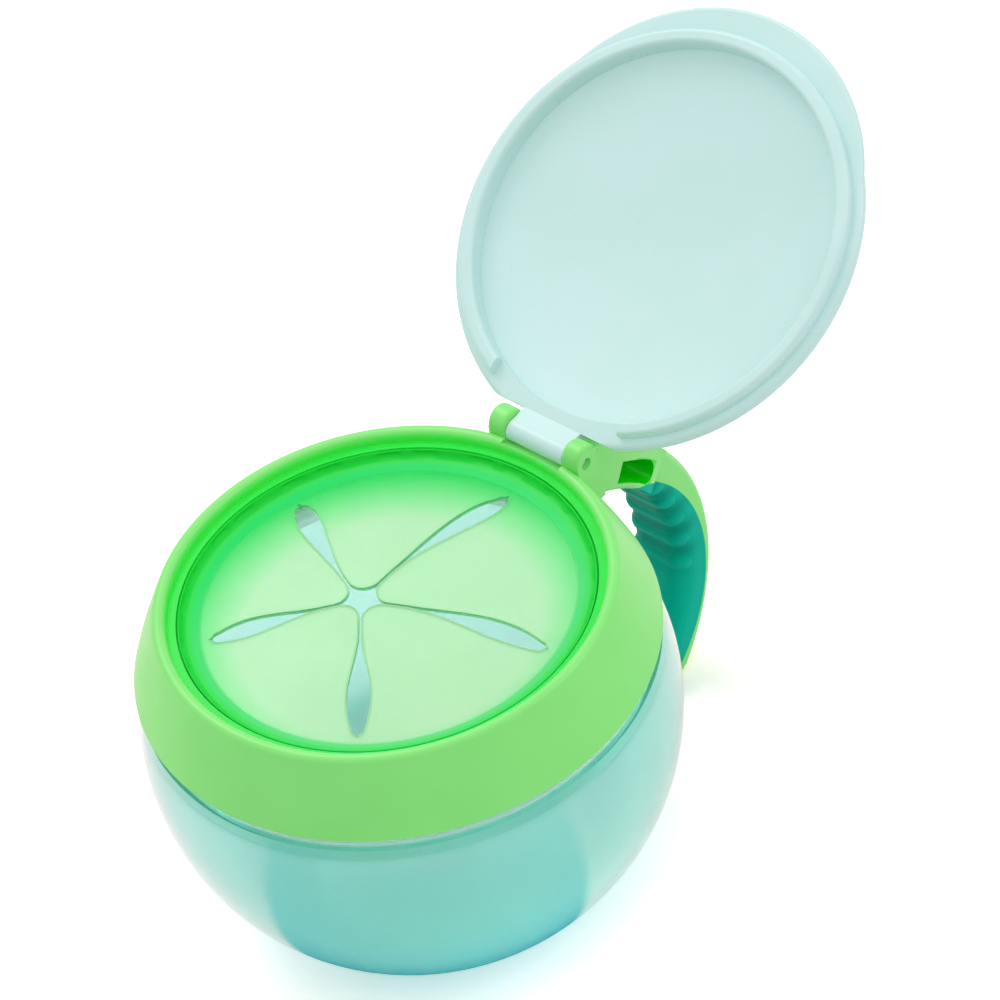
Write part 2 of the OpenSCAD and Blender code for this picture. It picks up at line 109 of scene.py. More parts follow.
def mix_colour(tree, factor, first, second):
    """The colour first where factor is 0, and second where it is 1. Each is a colour or a socket."""
    node = tree.nodes.new("ShaderNodeMix")
    node.data_type = "RGBA"
    tree.links.new(factor, node.inputs["Factor"])
    for socket, value in ((node.inputs[6], first), (node.inputs[7], second)):
        if isinstance(value, bpy.types.NodeSocket):
            tree.links.new(value, socket)
        else:
            socket.default_value = (*value, 1)
    return node.outputs[2]


def split(tree, vector):
    """The x, y and z sockets of a vector."""
    node = tree.nodes.new("ShaderNodeSeparateXYZ")
    tree.links.new(vector, node.inputs[0])
    return node.outputs


def distance(tree, x, y):
    """The distance of a place from the origin, from its two coordinates in a plane."""
    squares = [maths(tree, "MULTIPLY", value, value) for value in (x, y)]
    return maths(tree, "SQRT", maths(tree, "ADD", *squares))


def radius(tree, vector, centre=(0, 0)):
    """Distance from the bowl's axis, or from an upright line through centre."""
    x, y, _ = split(tree, vector)
    return distance(tree, maths(tree, "SUBTRACT", x, centre[0]), maths(tree, "SUBTRACT", y, centre[1]))


def bump(tree, shader, height, strength, full):
    """Roughens the shading by height, a socket from 0 to 1 that stands for up to `full` metres."""
    node = tree.nodes.new("ShaderNodeBump")
    node.inputs["Strength"].default_value = strength
    node.inputs["Distance"].default_value = full
    tree.links.new(height, node.inputs["Height"])
    tree.links.new(node.outputs["Normal"], shader.inputs["Normal"])


def let_light_through(tree, shader, share, tint):
    """Lamps reach what is behind the piece: their rays pass through this share of it, tinted."""
    path = tree.nodes.new("ShaderNodeLightPath")
    clear = tree.nodes.new("ShaderNodeBsdfTransparent")
    clear.inputs["Color"].default_value = (*tint, 1)
    mix = tree.nodes.new("ShaderNodeMixShader")
    tree.links.new(maths(tree, "MULTIPLY", path.outputs["Is Shadow Ray"], share), mix.inputs[0])
    tree.links.new(shader.outputs["BSDF"], mix.inputs[1])
    tree.links.new(clear.outputs["BSDF"], mix.inputs[2])
    tree.links.new(mix.outputs[0], tree.nodes["Material Output"].inputs["Surface"])


def srgb(red, green, blue):
    """A colour written as 0 to 255 values, as the linear values that nodes take."""
    def linear(value):
        value /= 255
        return value / 12.92 if value <= 0.04045 else ((value + 0.055) / 1.055) ** 2.4
    return linear(red), linear(green), linear(blue)


MOTTLE = 18 * MM            # size of the slow changes in colour, and the part of the noise that they span
MOTTLE_LOW, MOTTLE_HIGH = 0.35, 0.65
GLOSS_PATCH = 6 * MM        # the same for the duller and glossier patches
GLOSS_LOW, GLOSS_HIGH = 0.3, 0.7
GLOSSIER, DULLER = 0.03, 0.04       # how far their roughness goes below and above the one asked for
GRAIN = 0.35 * MM           # size and height of the fine grain of a spark-eroded mould
GRAIN_HEIGHT = 0.05 * MM


def moulded(name, colour, deep, rough, grained=0.05):
    """Moulded plastic: slow mottling from colour to deep, uneven gloss and a fine grain."""
    material, tree, shader = new_material(name)
    place = coordinates(tree)
    mottle = ramp(tree, noise(tree, place, MOTTLE), MOTTLE_LOW, MOTTLE_HIGH, 0, 1, smooth=True)
    tree.links.new(mix_colour(tree, mottle, colour, deep), shader.inputs["Base Color"])
    patches = noise(tree, place, GLOSS_PATCH)
    gloss = ramp(tree, patches, GLOSS_LOW, GLOSS_HIGH, rough - GLOSSIER, rough + DULLER)
    tree.links.new(gloss, shader.inputs["Roughness"])
    bump(tree, shader, noise(tree, place, GRAIN, 2), grained, GRAIN_HEIGHT)
    return material, tree, shader


def repaint(tree, shader, factor, colour):
    """Colour where factor is 1, over what the shader has already."""
    under = shader.inputs["Base Color"].links[0].from_socket
    tree.links.new(mix_colour(tree, factor, under, colour), shader.inputs["Base Color"])


def band(tree, value, low, high, soft):
    """1 between low and high, falling to 0 over `soft` on either side."""
    up = ramp(tree, value, low - soft / 2, low + soft / 2, 0, 1, smooth=True)
    down = ramp(tree, value, high - soft / 2, high + soft / 2, 1, 0, smooth=True)
    return maths(tree, "MULTIPLY", up, down)


# ---------- materials ----------

PAINT_EDGE = 0.1 * MM       # a second colour begins over about this distance where a face ends
HANDLE_AXIS = (0, 30.0 * MM, 27.8 * MM)     # the handle curves about the line along X through here
POCKET_IN, POCKET_OUT = 31.6 * MM, 35.9 * MM        # the arm's pockets lie between these distances from it,
POCKET_FROM, POCKET_TO = 38, 58             # between these turns in degrees, fading over POCKET_FADE,
POCKET_FADE = 0.3
POCKET_SIDE = 7.8 * MM                      # and inside the arm's two sides, this far from its middle


def round_handle(tree, place):
    """A place as its x, its distance from the axis that the handle curves about, and its turn in degrees."""
    x, y, z = split(tree, place)
    y = maths(tree, "SUBTRACT", y, HANDLE_AXIS[1])
    z = maths(tree, "SUBTRACT", z, HANDLE_AXIS[2])
    return x, distance(tree, y, z), maths(tree, "DEGREES", maths(tree, "ARCTAN2", z, y))


def pocket_zone(tree, place):
    """1 inside the pockets of the arm."""
    x, away, turn = round_handle(tree, place)
    across_it = band(tree, away, POCKET_IN - PAINT_EDGE, POCKET_OUT + PAINT_EDGE, PAINT_EDGE)
    along_it = band(tree, turn, POCKET_FROM, POCKET_TO, POCKET_FADE)
    deep = ramp(tree, maths(tree, "ABSOLUTE", x), POCKET_SIDE - 2 * PAINT_EDGE, POCKET_SIDE, 1, 0)
    return maths(tree, "MULTIPLY", maths(tree, "MULTIPLY", across_it, along_it), deep)


BORE_R = 39.2 * MM          # the collar is painted a deeper green, standing in for light glowing through it, in its bore, which ends at BORE_TOP,
BORE_TOP = 62.6 * MM
MOUTH_R = 36.9 * MM         # and on the walls of its mouth, whose green fades over MOUTH_FADE
MOUTH_FADE = 1.1 * MM
MOUTH_GLOW = 0.7            # share of light that spreads inside the deeper green, and how far it goes
GLOW_REACH = 4 * MM


def green_shell():
    """The collar: satin light green, with a deeper green painted glow in its mouth and bore and painted shade
    in the arm's pockets.
    """
    material, tree, shader = moulded("green_shell", srgb(134, 228, 121), srgb(130, 225, 117), 0.36)
    place = coordinates(tree)
    away = radius(tree, place)
    mouth = ramp(tree, away, MOUTH_R - MOUTH_FADE, MOUTH_R, 1, 0, smooth=True)
    bore = maths(tree, "MULTIPLY", ramp(tree, away, BORE_R, BORE_R + PAINT_EDGE, 1, 0),
                 ramp(tree, split(tree, place)[2], BORE_TOP - 2 * PAINT_EDGE, BORE_TOP, 1, 0))
    deep = maths(tree, "MAXIMUM", mouth, bore)
    # Painted glow: the mouth's walls and the bore take a saturated green for light shining through the collar
    # and bouncing inside its mouth.
    repaint(tree, shader, deep, srgb(30, 236, 66))
    tree.links.new(maths(tree, "MULTIPLY", deep, MOUTH_GLOW), shader.inputs["Subsurface Weight"])
    shader.inputs["Subsurface Radius"].default_value = (0.3, 1.0, 0.5)
    shader.inputs["Subsurface Scale"].default_value = GLOW_REACH
    # Painted shade: the arm's pockets take a saturated dark green for the shade deep inside them.
    repaint(tree, shader, pocket_zone(tree, place), srgb(0, 215, 0))
    shader.inputs["Specular IOR Level"].default_value = 0.35
    let_light_through(tree, shader, 0.75, (0.75, 0.98, 0.78))
    return material


RIB_FIRST = 38              # turn of the grip's first rib about the handle's axis, in degrees
RIB_PITCH = 9.5             # turn from one rib to the next
RIB_COUNT = 6
RIB_LAST = RIB_FIRST - (RIB_COUNT - 1) * RIB_PITCH
VALLEY_SHADE_FULL, VALLEY_SHADE_GONE = 31.5 * MM, 37 * MM       # the painted shade in the valleys fades between these distances
VALLEY_SHADE_SHARE = 0.7          # how much of it shows


def soft_grip():
    """The grip: rubbery teal, with painted shade in the valleys between its ribs."""
    material, tree, shader = moulded("soft_grip", srgb(0, 180, 155), srgb(0, 172, 147), 0.5, grained=0.12)
    _, away, turn = round_handle(tree, coordinates(tree))
    phase = maths(tree, "MULTIPLY", maths(tree, "SUBTRACT", turn, RIB_FIRST), 2 * math.pi / RIB_PITCH)
    valley_shade = maths(tree, "MULTIPLY_ADD", maths(tree, "COSINE", phase), -0.5, 0.5)
    valley_shade_reach = maths(tree, "MULTIPLY", ramp(tree, away, VALLEY_SHADE_FULL, VALLEY_SHADE_GONE, 1, 0, smooth=True),
                   band(tree, turn, RIB_LAST, RIB_FIRST, 2 * RIB_PITCH))
    valley_shade_reach = maths(tree, "MULTIPLY", valley_shade_reach, VALLEY_SHADE_SHARE)
    # Painted shade: the valleys between the ribs are a darker teal.
    repaint(tree, shader, maths(tree, "MULTIPLY", valley_shade, valley_shade_reach), srgb(0, 128, 108))
    shader.inputs["Specular IOR Level"].default_value = 0.05
    return material


SOFT_IOR = 1.41             # the soft plastic bends light less than the hard ones
SOFT_THROUGH = 0.9          # share of the lamps' light that passes it, and the tint that it takes
SOFT_TINT = (0.98, 1.0, 0.98)
GREEN_REFLECTION_AT = (3.5 * MM, -3.5 * MM)            # a painted reflection of the collar's green wall deepens with the distance from here, so most on the side away from the camera
GREEN_REFLECTION_FROM, GREEN_REFLECTION_FULL = 24.8 * MM, 35 * MM         # so most on the side away from the camera
COVE_FROM, COVE_FULL = 30.6 * MM, 31.4 * MM         # distances from the axis at which three rings of painted shade and green light from the collar begin: the cove, its outer slope and the wall under the lip
LIP_FROM, LIP_FULL = 32 * MM, 32.8 * MM             # other greens begin: the cove, its outer slope
WALL_FROM, WALL_FULL = 33.1 * MM, 33.5 * MM         # and the wall under the lip
COVE_SHADE_SHARE, LIP_SHADE_SHARE = 0.8, 0.8            # how much of the first two shows
SHEET_CLEAR, COVE_LESS = 0.65, 0.55         # how clear the sheet is, and how much less the cove


def soft_green():
    """The membrane: frosted and translucent, with a painted green reflection of the collar's wall and painted
    shade and green in the cove, its slope and the wall under the lip.
    """
    material, tree, shader = moulded("soft_green", srgb(211, 245, 204), srgb(207, 243, 201), 0.4)
    shader.inputs["IOR"].default_value = SOFT_IOR
    shader.inputs["Specular IOR Level"].default_value = 0.2
    place = coordinates(tree)
    away = radius(tree, place)
    cove = ramp(tree, away, COVE_FROM, COVE_FULL, 0, 1, smooth=True)
    aside = radius(tree, place, GREEN_REFLECTION_AT)
    # Painted reflection: green from the collar's wall, strongest on the side away from the camera.
    repaint(tree, shader, ramp(tree, aside, GREEN_REFLECTION_FROM, GREEN_REFLECTION_FULL, 0, 1), srgb(6, 244, 116))
    # Painted shade and green light from the collar's wall: the cove, its outer slope and the wall under the
    # lip.
    repaint(tree, shader, maths(tree, "MULTIPLY", cove, COVE_SHADE_SHARE), srgb(40, 214, 102))
    lip_shade = ramp(tree, away, LIP_FROM, LIP_FULL, 0, LIP_SHADE_SHARE, smooth=True)
    repaint(tree, shader, lip_shade, srgb(56, 222, 84))
    repaint(tree, shader, ramp(tree, away, WALL_FROM, WALL_FULL, 0, 1, smooth=True), srgb(24, 216, 60))
    clear = maths(tree, "SUBTRACT", SHEET_CLEAR, maths(tree, "MULTIPLY", cove, COVE_LESS))
    tree.links.new(clear, shader.inputs["Transmission Weight"])
    let_light_through(tree, shader, SOFT_THROUGH, SOFT_TINT)
    return material


def shaded_soft_edge():
    """The rounded edges of the slots, painted a deeper green for the shade that falls on them."""
    material, tree, shader = moulded("shaded_soft_edge", srgb(110, 208, 140), srgb(104, 204, 134), 0.4)
    shader.inputs["Transmission Weight"].default_value = 0.3
    shader.inputs["IOR"].default_value = SOFT_IOR
    let_light_through(tree, shader, SOFT_THROUGH, SOFT_TINT)
    return material


ARC_R = 43.25 * MM          # the bowl's outer side is an arc of this radius
ARC_AT = (1.75 * MM, 38.48 * MM)            # about this distance from the axis and height
OUTSIDE, INSIDE = 0.8 * MM, 1.2 * MM        # the outer colour gives way to the inner, paler colour of painted light, between these depths in the wall and between these heights in the floor
UNDER, ABOVE = 1.2 * MM, 1.8 * MM           # in the wall and between these heights in the floor
BASE_LOW, BASE_TOP = 6 * MM, 13 * MM        # the base's deeper colour, from its thick tinted plastic and from painted shade, fades between these heights
COLLAR_SHADE_LOW, COLLAR_SHADE_TOP = 47 * MM, 49.5 * MM     # painted shade and green reflection of the collar come in between these, on the shoulder
BOWL_CLEAR, BASE_LESS = 0.7, 0.35           # how clear the bowl is, and how much less its base


def clear_bowl():
    """The bowl: aqua plastic, deeper at its thick base from tint and painted shade, with painted shade and
    green reflection under the collar and a paler inside of painted light.
    """
    material, tree, shader = moulded("clear_bowl", srgb(164, 238, 230), srgb(158, 235, 226), 0.14, grained=0)
    place = coordinates(tree)
    away = maths(tree, "SUBTRACT", radius(tree, place), ARC_AT[0])
    height = split(tree, place)[2]
    up = maths(tree, "SUBTRACT", height, ARC_AT[1])
    from_arc = distance(tree, away, up)
    base = ramp(tree, height, BASE_LOW, BASE_TOP, 1, 0, smooth=True)
    # Deeper aqua towards the base: partly the thick tinted plastic, partly painted shade.
    repaint(tree, shader, base, srgb(24, 192, 202))
    collar_shade = ramp(tree, height, COLLAR_SHADE_LOW, COLLAR_SHADE_TOP, 0, 1, smooth=True)
    # Painted shade and green reflection of the collar on the band below it.
    repaint(tree, shader, collar_shade, srgb(108, 218, 200))
    painted_inner_light = maths(tree, "MULTIPLY", ramp(tree, from_arc, ARC_R - INSIDE, ARC_R - OUTSIDE, 1, 0),
                  ramp(tree, height, UNDER, ABOVE, 0, 1))
    # Painted light: the inside is a near-white aqua, standing in for the light inside the bowl.
    repaint(tree, shader, painted_inner_light, srgb(246, 252, 250))
    clear = maths(tree, "SUBTRACT", BOWL_CLEAR, maths(tree, "MULTIPLY", base, BASE_LESS))
    tree.links.new(clear, shader.inputs["Transmission Weight"])
    shader.inputs["IOR"].default_value = 1.49
    shader.inputs["Coat Weight"].default_value = 0.7
    shader.inputs["Coat Roughness"].default_value = 0.03
    let_light_through(tree, shader, 0.9, (0.98, 0.98, 0.98))
    return material


LID_MIDDLE = (0, 75.85 * MM, 82.25 * MM)
LID_FAN = 3.2 * MM          # the narrow faces that meet in the middle of the lid's panel reach this far


def even_middle(tree, shader):
    """Where narrow faces meet in the lid's middle, shading takes their own normal, so that no glint shows."""
    near = tree.nodes.new("ShaderNodeVectorMath")
    near.operation = "DISTANCE"
    tree.links.new(coordinates(tree), near.inputs[0])
    near.inputs[1].default_value = LID_MIDDLE
    faces = tree.nodes.new("ShaderNodeNewGeometry")
    mix = tree.nodes.new("ShaderNodeMix")
    mix.data_type = "VECTOR"
    within = ramp(tree, near.outputs["Value"], LID_FAN - PAINT_EDGE, LID_FAN, 1, 0)
    tree.links.new(within, mix.inputs["Factor"])
    tree.links.new(faces.outputs["Normal"], mix.inputs[4])
    tree.links.new(faces.outputs["True Normal"], mix.inputs[5])
    tree.links.new(mix.outputs[1], shader.inputs["Normal"])


def clear_lid():
    """The lid: pale frosted aqua."""
    material, tree, shader = moulded("clear_lid", srgb(198, 228, 226), srgb(195, 226, 223), 0.3, grained=0)
    shader.inputs["Specular IOR Level"].default_value = 0.3
    even_middle(tree, shader)
    let_light_through(tree, shader, 0.75, (0.96, 0.99, 0.985))
    return material


LOOKS = {
    "clear_bowl": clear_bowl(),
    "green_shell": green_shell(),
    "soft_grip": soft_grip(),
    "soft_green": soft_green(),
    "shaded_soft_edge": shaded_soft_edge(),
    "clear_lid": clear_lid(),
}
for name in ("bowl", "collar", "grip", "lid"):
    nodes[name].data.materials.clear()
    nodes[name].data.materials.append(LOOKS[slots[name]])


# ---------- soft membrane: a moulded ring and five sectors ----------------------------------------
# Lengths are in millimetres here, and MM turns them into metres where a mesh is made.

FLAPS = 5
FLAP_TOP = 62.1             # heights of the sheet's two faces
FLAP_BOTTOM = 61.4
FLAT_R = 31.08              # the flat middle ends here and the cove begins
STAR = Vector((-4.6, -1.8))         # middle of the hole from which the slots run out
SLOT_R = 29.08              # the slots end at this distance from the axis
SLOT_TURN = 86.6            # direction of the first slot, in degrees
SLOT_LEAN = (2.4, 3.4, -2.1, -0.6, -2.1)        # how far each slot turns from its even place
SLOT_BEND = (1.8, 0.5, -0.75, 0.0, 1.7)         # how far each one bows aside halfway
SLOT_FULL = (0.84, 0.89, 0.76, 0.72, 0.75)      # share of its length at which each one is widest
SLOT_SWELL = 0.24           # share of its length at which a slot starts to widen
SLOT_WIDE = 4.5             # width of a slot where it is widest, near the hole and at its rounded tip
SLOT_NARROW = 1.0
TIP_WIDE = 2.1
TIP_ROUND = 2.75            # rounding of the flaps' tips
EDGE_ROUND = 0.32           # rounding of the slots' edges
BOW_FROM = 0.7              # share of a slot's side beyond which the rows bow into rings round the axis
SIDE_STEPS = 34             # divisions along a slot's side, round a flap's tip, round a slot's end,
TIP_STEPS = 8
END_STEPS = 6
SEAM_STEPS = 4              # from a slot's end to the cove, round an edge's quarter and from slot to slot
EDGE_STEPS = 4
COLUMNS = 22
WELD = 0.002 * MM           # points nearer than this become one
SLIVER = 0.001 * MM         # and edges shorter than this go


def eased(x):
    """From 0 to 1 as x does, level at both ends."""
    return x * x * (3 - 2 * x)


def polar(length, degrees):
    """The point at this distance and direction from the axis."""
    return Vector((length * math.cos(math.radians(degrees)), length * math.sin(math.radians(degrees))))


def heading(vector):
    """A vector's direction in degrees."""
    return math.degrees(math.atan2(vector.y, vector.x))


def slot_dir(k):
    """Direction of the far end of slot k from the axis."""
    return SLOT_TURN + k * 360 / FLAPS + SLOT_LEAN[k % FLAPS]


def slot_tip(k):
    """The far end of slot k."""
    return polar(SLOT_R, slot_dir(k))


def across(k):
    """The direction square to slot k, to its left."""
    along = (slot_tip(k) - STAR).normalized()
    return Vector((-along.y, along.x))


def slot_axis(k, t):
    """The point at t along the middle of slot k, from 0 at the star's middle to 1 at the tip."""
    return STAR + t * (slot_tip(k) - STAR) + 4 * SLOT_BEND[k % FLAPS] * t * (1 - t) * across(k)


def slot_start(k):
    """Direction in which slot k leaves the star's middle."""
    return heading(slot_axis(k, SLOT_SWELL) - STAR)


def leaf(k, t):
    """Width of slot k at t along it."""
    full = SLOT_FULL[k % FLAPS]
    if t < full:
        swell = eased(max(0.0, (t - SLOT_SWELL) / (full - SLOT_SWELL)))
        return SLOT_NARROW + (SLOT_WIDE - SLOT_NARROW) * swell
    return TIP_WIDE + (SLOT_WIDE - TIP_WIDE) * (1 - ((t - full) / (1 - full)) ** 2)


def slot_side(k, side):
    """Points along one side of slot k and round to the middle of its tip. side is 1 for its left."""
    end = 1 - TIP_WIDE / 2 / (slot_tip(k) - STAR).length
    run = [SLOT_SWELL + (end - SLOT_SWELL) * i / SIDE_STEPS for i in range(SIDE_STEPS + 1)]
    points = [slot_axis(k, t) + side * leaf(k, t) / 2 * across(k) for t in run]
    left = heading(across(k))
    for i in range(1, END_STEPS + 1):
        turn = 90 * i / END_STEPS
        at = left - turn if side > 0 else left - 180 + turn
        points.append(slot_axis(k, end) + polar(leaf(k, end) / 2, at))
    return points


def flap_edges(k):
    """The two sides of flap k, each from the middle of its rounded tip to a slot's far end."""
    half = ((slot_start(k + 1) - slot_start(k)) % 360) / 2
    middle = slot_start(k) + half
    centre = STAR + polar((TIP_ROUND + SLOT_NARROW / 2) / math.sin(math.radians(half)), middle)
    sides = []
    for side, slot in ((1, k), (-1, k + 1)):
        tip = [centre + polar(TIP_ROUND, middle + 180 + side * (90 - half) * i / TIP_STEPS)
               for i in range(TIP_STEPS + 1)]
        sides.append(tip + slot_side(slot, side))
    return sides


def inward(points, side):
    """At each point of a flap's edge, the direction into the soft sheet. side is 1 for the left edge."""
    out = []
    for i, point in enumerate(points):
        ahead = points[min(i + 1, len(points) - 1)]
        behind = points[max(i - 1, 0)]
        along = (ahead - behind).normalized()
        out.append(side * Vector((along.y, -along.x)))
    return out


def sheet_rows(k):
    """Rows of the flat sheet between its two edges, from the flap's tip out to the cove."""
    left, right = flap_edges(k)
    into_left, into_right = inward(left, 1), inward(right, -1)
    into_left[0] = into_right[0] = (into_left[0] + into_right[0]).normalized()
    into_left[-1] = left[-1].normalized()
    into_right[-1] = right[-1].normalized()
    start = [p + EDGE_ROUND * d for p, d in zip(left, into_left)]
    stop = [p + EDGE_ROUND * d for p, d in zip(right, into_right)]
    for ends in (start, stop):
        last = ends[-1]
        for i in range(1, SEAM_STEPS + 1):
            ends.append(last.normalized() * (last.length + (FLAT_R - last.length) * i / SEAM_STEPS))
    bow_from = TIP_STEPS + int(SIDE_STEPS * BOW_FROM)
    rows = []
    for i, (a, b) in enumerate(zip(start, stop)):
        bow = eased(max(0.0, (i - bow_from) / (len(start) - 1 - bow_from)))
        row = []
        for j in range(COLUMNS + 1):
            s = 0.5 - 0.5 * math.cos(math.pi * j / COLUMNS)
            chord = a.lerp(b, s)
            turn = ((heading(b) - heading(a)) % 360) * s
            arc = polar(a.length + (b.length - a.length) * s, heading(a) + turn)
            row.append(chord.lerp(arc, bow) if bow > 0 else chord)
        rows.append(row)
    return rows, (left, into_left), (right, into_right)


def sector(k):
    """Flap k with the part of the flat ring behind it, its slot edges rounded."""
    rows, (left, into_left), (right, into_right) = sheet_rows(k)
    mesh = bmesh.new()

    def point(place, height):
        return mesh.verts.new((place.x * MM, place.y * MM, height * MM))

    def strip(a, b):
        for i in range(len(a) - 1):
            mesh.faces.new((a[i], a[i + 1], b[i + 1], b[i]))

    for height, up in ((FLAP_TOP, True), (FLAP_BOTTOM, False)):
        grid = [[point(p, height) for p in row] for row in rows]
        for a, b in zip(grid, grid[1:]):
            strip(*((b, a) if up else (a, b)))
    edge = list(zip(right, into_right))[::-1] + list(zip(left, into_left))[1:]
    turns = [90 - 90 * i / EDGE_STEPS for i in range(EDGE_STEPS + 1)]
    profile = [(EDGE_ROUND * (1 - math.cos(math.radians(a))),
                FLAP_TOP - EDGE_ROUND * (1 - math.sin(math.radians(a)))) for a in turns]
    profile += [(d, FLAP_TOP + FLAP_BOTTOM - z) for d, z in profile[::-1]]
    loops = [[point(p + d * into, z) for p, into in edge] for d, z in profile]
    # The rounding's faces take the second material, the painted shade of the slots' edges.
    for a, b in zip(loops, loops[1:]):
        for i in range(len(a) - 1):
            mesh.faces.new((a[i], a[i + 1], b[i + 1], b[i])).material_index = 1
    bmesh.ops.remove_doubles(mesh, verts=mesh.verts, dist=WELD)
    return finish_mesh(mesh, f"membrane_sector_{k + 1}")


def finish_mesh(mesh, name):
    """The bmesh as a smooth-shaded object of the soft green."""
    bmesh.ops.dissolve_degenerate(mesh, edges=mesh.edges, dist=SLIVER)
    for face in mesh.faces:
        face.smooth = True
    data = bpy.data.meshes.new(name)
    mesh.to_mesh(data)
    mesh.free()
    piece = bpy.data.objects.new(name, data)
    bpy.context.scene.collection.objects.link(piece)
    data.materials.append(LOOKS["soft_green"])
    data.materials.append(LOOKS["shaded_soft_edge"])
    return piece


# The ring's section from the flat middle over the cove and lip, round the flange and the plug below:
# radius, height and the rounding of that corner.
RING_SECTION = (
    (FLAT_R, FLAP_TOP, 0), (31.98, 62.35, 0.8), (33.68, 62.7, 0.7), (34.28, 63.9, 0.1), (34.48, 63.9, 0.08),
    (34.48, 62.6, 0.1), (36.98, 62.6, 0.15), (36.98, 61.1, 0.15), (34.98, 61.1, 0.1), (34.98, 59.2, 0.2),
    (33.68, 59.2, 0.2), (33.68, 61.1, 0.15), (32.2, 61.1, 0.3), (FLAT_R, FLAP_BOTTOM, 0),
)
RING_STEPS = 360
SECTION_STEP = 0.3          # the section's stretches are divided into parts no longer than this
CORNER_STEPS = 4
WALL_IN, WALL_OUT = 33.0, 34.3      # the wall under the lip lies between these distances
RECESS_PAIRS = 13           # shallow recesses in it, in pairs round the ring
RECESS_TURN = 38            # direction of the first one, in degrees
RECESS_APART = 10.5         # turn between the two of a pair
RECESS_WIDE = 6.4           # width of each in degrees, and the part of it over which its sides slope
RECESS_FADE = 1.2
RECESS_DEEP = 0.4
RECESS_LOW, RECESS_HIGH = 62.6, 63.6        # its lower and upper end, which slope over these heights
LOW_SLOPE, HIGH_SLOPE = 0.15, 0.25


def rounded(section):
    """The section's points, with each corner turned into a short curve."""
    points = []
    for i, (r, z, soft) in enumerate(section):
        corner = Vector((r, z))
        if soft == 0:
            points.append(corner)
            continue
        before = (Vector(section[i - 1][:2]) - corner).normalized() * soft
        after = (Vector(section[i + 1][:2]) - corner).normalized() * soft
        for step in range(CORNER_STEPS + 1):
            t = step / CORNER_STEPS
            points.append(corner + (1 - t) ** 2 * before + t ** 2 * after)
    return points


def finer(points, longest):
    """The same path with its long stretches divided."""
    out = [points[0]]
    for a, b in zip(points, points[1:]):
        parts = max(1, math.ceil((b - a).length / longest))
        out += [a.lerp(b, i / parts) for i in range(1, parts + 1)]
    return out


def recess(angle, height):
    """How deep the shallow recesses are at this direction and height, from 0 to 1."""
    if not RECESS_LOW < height < RECESS_HIGH:
        return 0.0
    up = min(1.0, (RECESS_HIGH - height) / HIGH_SLOPE, (height - RECESS_LOW) / LOW_SLOPE)
    place = (angle - RECESS_TURN) % (360 / RECESS_PAIRS)
    aside = min(abs(place - at) for at in (0, RECESS_APART, 360 / RECESS_PAIRS))
    return up * eased(min(1.0, max(0.0, (RECESS_WIDE / 2 - aside) / RECESS_FADE + 0.5)))


def ring():
    """The section turned round the axis, with the recesses pressed outwards into its wall."""
    path = finer(rounded(RING_SECTION), SECTION_STEP)
    mesh = bmesh.new()
    rings = []
    for step in range(RING_STEPS):
        angle = 360 * step / RING_STEPS
        column = []
        for p in path:
            deep = RECESS_DEEP * recess(angle, p.y) if WALL_IN < p.x < WALL_OUT and p.y > FLAP_TOP else 0
            place = polar(p.x + deep, angle)
            column.append(mesh.verts.new((place.x * MM, place.y * MM, p.y * MM)))
        rings.append(column)
    for a, b in zip(rings, rings[1:] + rings[:1]):
        for i in range(len(path) - 1):
            mesh.faces.new((a[i], a[i + 1], b[i + 1], b[i]))
    return finish_mesh(mesh, "membrane_rim")


rim = ring()
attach(rim, "insert")
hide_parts("membrane_ring")
for number in range(FLAPS):
    piece = sector(number)
    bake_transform(piece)
    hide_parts(f"flap_{number + 1}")


# ---------- stage: floor, light and camera ----------

FLOOR_HALF = 3.0            # half the floor's side, in metres
FLOOR_PLAIN = (0.85, 0.85, 0.85)            # its colour, and how the camera and clear plastic see it
FLOOR_SEEN = (1.45, 1.26, 1.26)
FLOOR_THROUGH = (1.4, 1.4, 1.4)
FLOOR_MIRRORED = (1.15, 0.97, 0.97)         # how gloss mirrors it, with a painted dark patch on one side, seen only in reflections
SHADE_PATCH_MIRRORED = (0.1, 0.5, 0.6)
PATCH_NEAR, PATCH_FAR = 90 * MM, 240 * MM   # distances from the bowl's axis between which the patch pales
PATCH_SIDE = (0.661, -0.750)                # the way in which the patch lies from the axis
PATCH_EDGE, PATCH_FULL = 0.59, 0.67         # cosines of the angles from it at which the patch starts, is full


